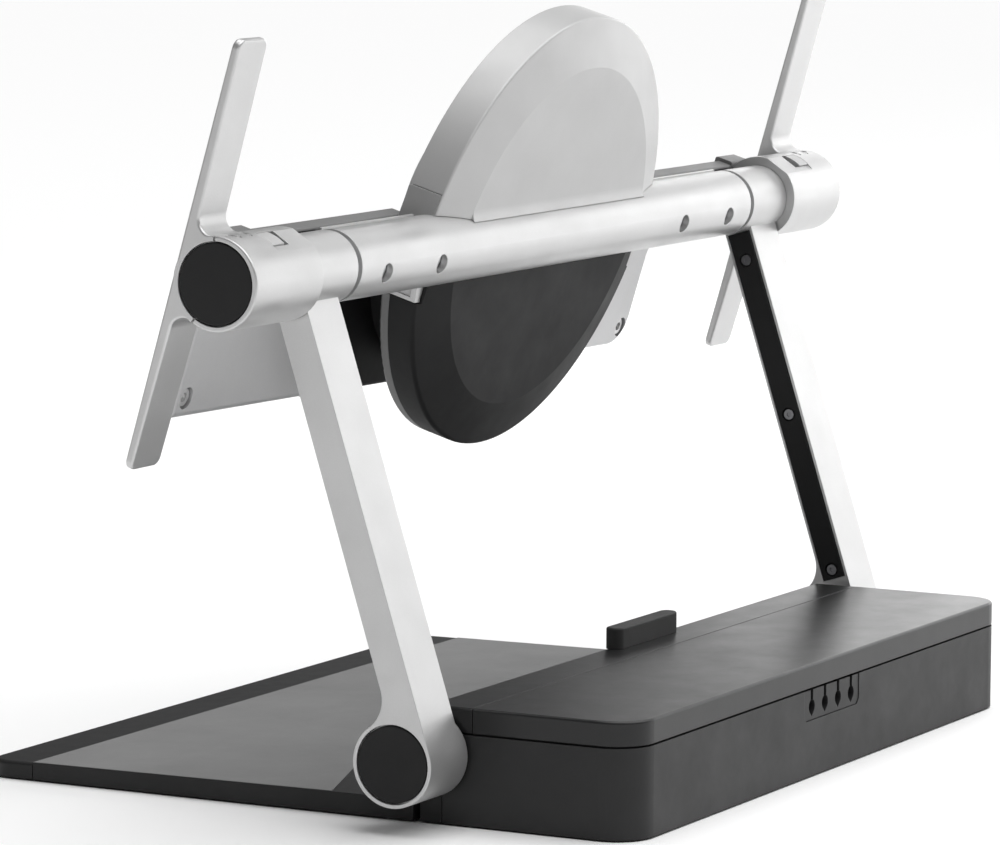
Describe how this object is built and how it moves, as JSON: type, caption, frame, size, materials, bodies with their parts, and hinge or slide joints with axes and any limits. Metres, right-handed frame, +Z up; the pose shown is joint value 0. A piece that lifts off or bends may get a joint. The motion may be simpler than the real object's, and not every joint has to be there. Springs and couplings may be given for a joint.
{
  "type": "pen display stand",
  "caption": "Free-standing desk stand for a pen display: weighted base with a cable box, leaning arms, tilting head tube with release levers, and a rotating mounting plate.",
  "frame": {"origin": "middle of the footprint, on the desk", "axes": "+Z up; the user sits at -Y and faces +Y; +X to the user's right, along the head tube"},
  "size_m": [0.72, 0.4, 0.4227],
  "materials": {
    "silver": "fine satin silver",
    "silver_plastic": "satin silver paint",
    "dark_plastic": "fine textured dark grey",
    "black_caps": "satin black",
    "box_top": "satin charcoal",
    "clip_grey": "fine textured",
    "frame_grey": "satin grey",
    "plate_grey": "satin grey",
    "desk_plate": "fine textured charcoal",
    "mat": "fine matt",
    "rubber": "matt",
    "steel": "machined",
    "screws": "dark plated",
    "bright_screws": "bright plated",
    "springs": "spring steel",
    "bushes": "acetal",
    "steel_plate": "black",
    "iron": "as cast"
  },
  "bodies": {
    "base": {"box_tray": "dark_plastic", "front_cover": "box_top", "front_plate": "desk_plate", "front_trim": "desk_plate", "mat_inlay": "mat", "base_steel_plate": "steel_plate", "counterweight": "iron", "counterweight_screws": "screws", "rubber_feet": "rubber", "display_bumper": "rubber", "keyhole_clip": "clip_grey", "pivot_nuts": "steel", "pivot_washers": "steel", "pivot_crossbeam": "steel", "pivot_block_left": "steel_plate", "pivot_block_right": "steel_plate", "pivot_shaft_left": "steel", "pivot_shaft_right": "steel"},
    "lid": {"box_lid": "box_top"},
    "arms": {"arm_left": "silver", "arm_right": "silver", "arm_cover_left": "dark_plastic", "arm_cover_right": "dark_plastic", "arm_cover_screws": "screws", "pivot_cap_left": "black_caps", "pivot_cap_right": "black_caps", "pivot_bushes": "bushes", "tilt_bushes": "bushes", "counterbalance_spring_left": "springs", "counterbalance_spring_right": "springs"},
    "head": {"head_tube": "silver", "head_axle_left": "steel", "head_axle_right": "steel", "tube_screws": "bright_screws", "end_sleeve_left": "silver", "end_sleeve_right": "silver", "end_cap_left": "black_caps", "end_cap_right": "black_caps", "front_beam_left": "frame_grey", "front_beam_right": "frame_grey", "tube_clamp_left": "silver", "tube_clamp_right": "silver", "hub_cover_upper": "silver_plastic", "hub_cover_lower": "dark_plastic", "hub_carrier": "frame_grey", "slewing_ring": "steel", "slewing_screws": "screws", "clutch_plates": "steel", "clutch_springs": "springs"},
    "display": {"display_plate": "plate_grey", "hub_panel": "black_caps", "rotation_hub": "frame_grey", "hub_shroud": "dark_plastic", "display_screws": "bright_screws", "hub_screws": "screws"},
    "lever_left": {"lever_left": "silver"},
    "lever_right": {"lever_right": "silver"},
    "lock_left": {"lock_slider_left": "silver"},
    "lock_right": {"lock_slider_right": "silver"}
  },
  "joints": [
    {"name": "arm_pivot", "type": "hinge", "parent": "base", "child": "arms", "pos_m": [0, 0.0794, 0.0387], "axis": [1, 0, 0], "range_deg": [-15, 50]},
    {"name": "head_tilt", "type": "hinge", "parent": "arms", "child": "head", "pos_m": [0, 0.01401, 0.2934], "axis": [-1, 0, 0], "range_deg": [-15, 115]},
    {"name": "display_rotation", "type": "hinge", "parent": "head", "child": "display", "pos_m": [0, 0.01401, 0.2934], "axis": [0, -0.9588, 0.284], "range_deg": [-21, 19]},
    {"name": "lever_left_pull", "type": "hinge", "parent": "head", "child": "lever_left", "pos_m": [0, 0.01401, 0.2934], "axis": [1, 0, 0], "range_deg": [-2.2, 2.2], "stiffness_Nm_per_rad": 20},
    {"name": "lever_right_pull", "type": "hinge", "parent": "head", "child": "lever_right", "pos_m": [0, 0.01401, 0.2934], "axis": [1, 0, 0], "range_deg": [-2.2, 2.2], "stiffness_Nm_per_rad": 20},
    {"name": "lock_left_slide", "type": "slide", "parent": "head", "child": "lock_left", "axis": [1, 0, 0], "range_m": [0, 0.005]},
    {"name": "lock_right_slide", "type": "slide", "parent": "head", "child": "lock_right", "axis": [-1, 0, 0], "range_m": [0, 0.005]},
    {"name": "lid_lift", "type": "slide", "parent": "base", "child": "lid", "axis": [0, 0, 1], "range_m": [0, 0.06]}
  ]
}
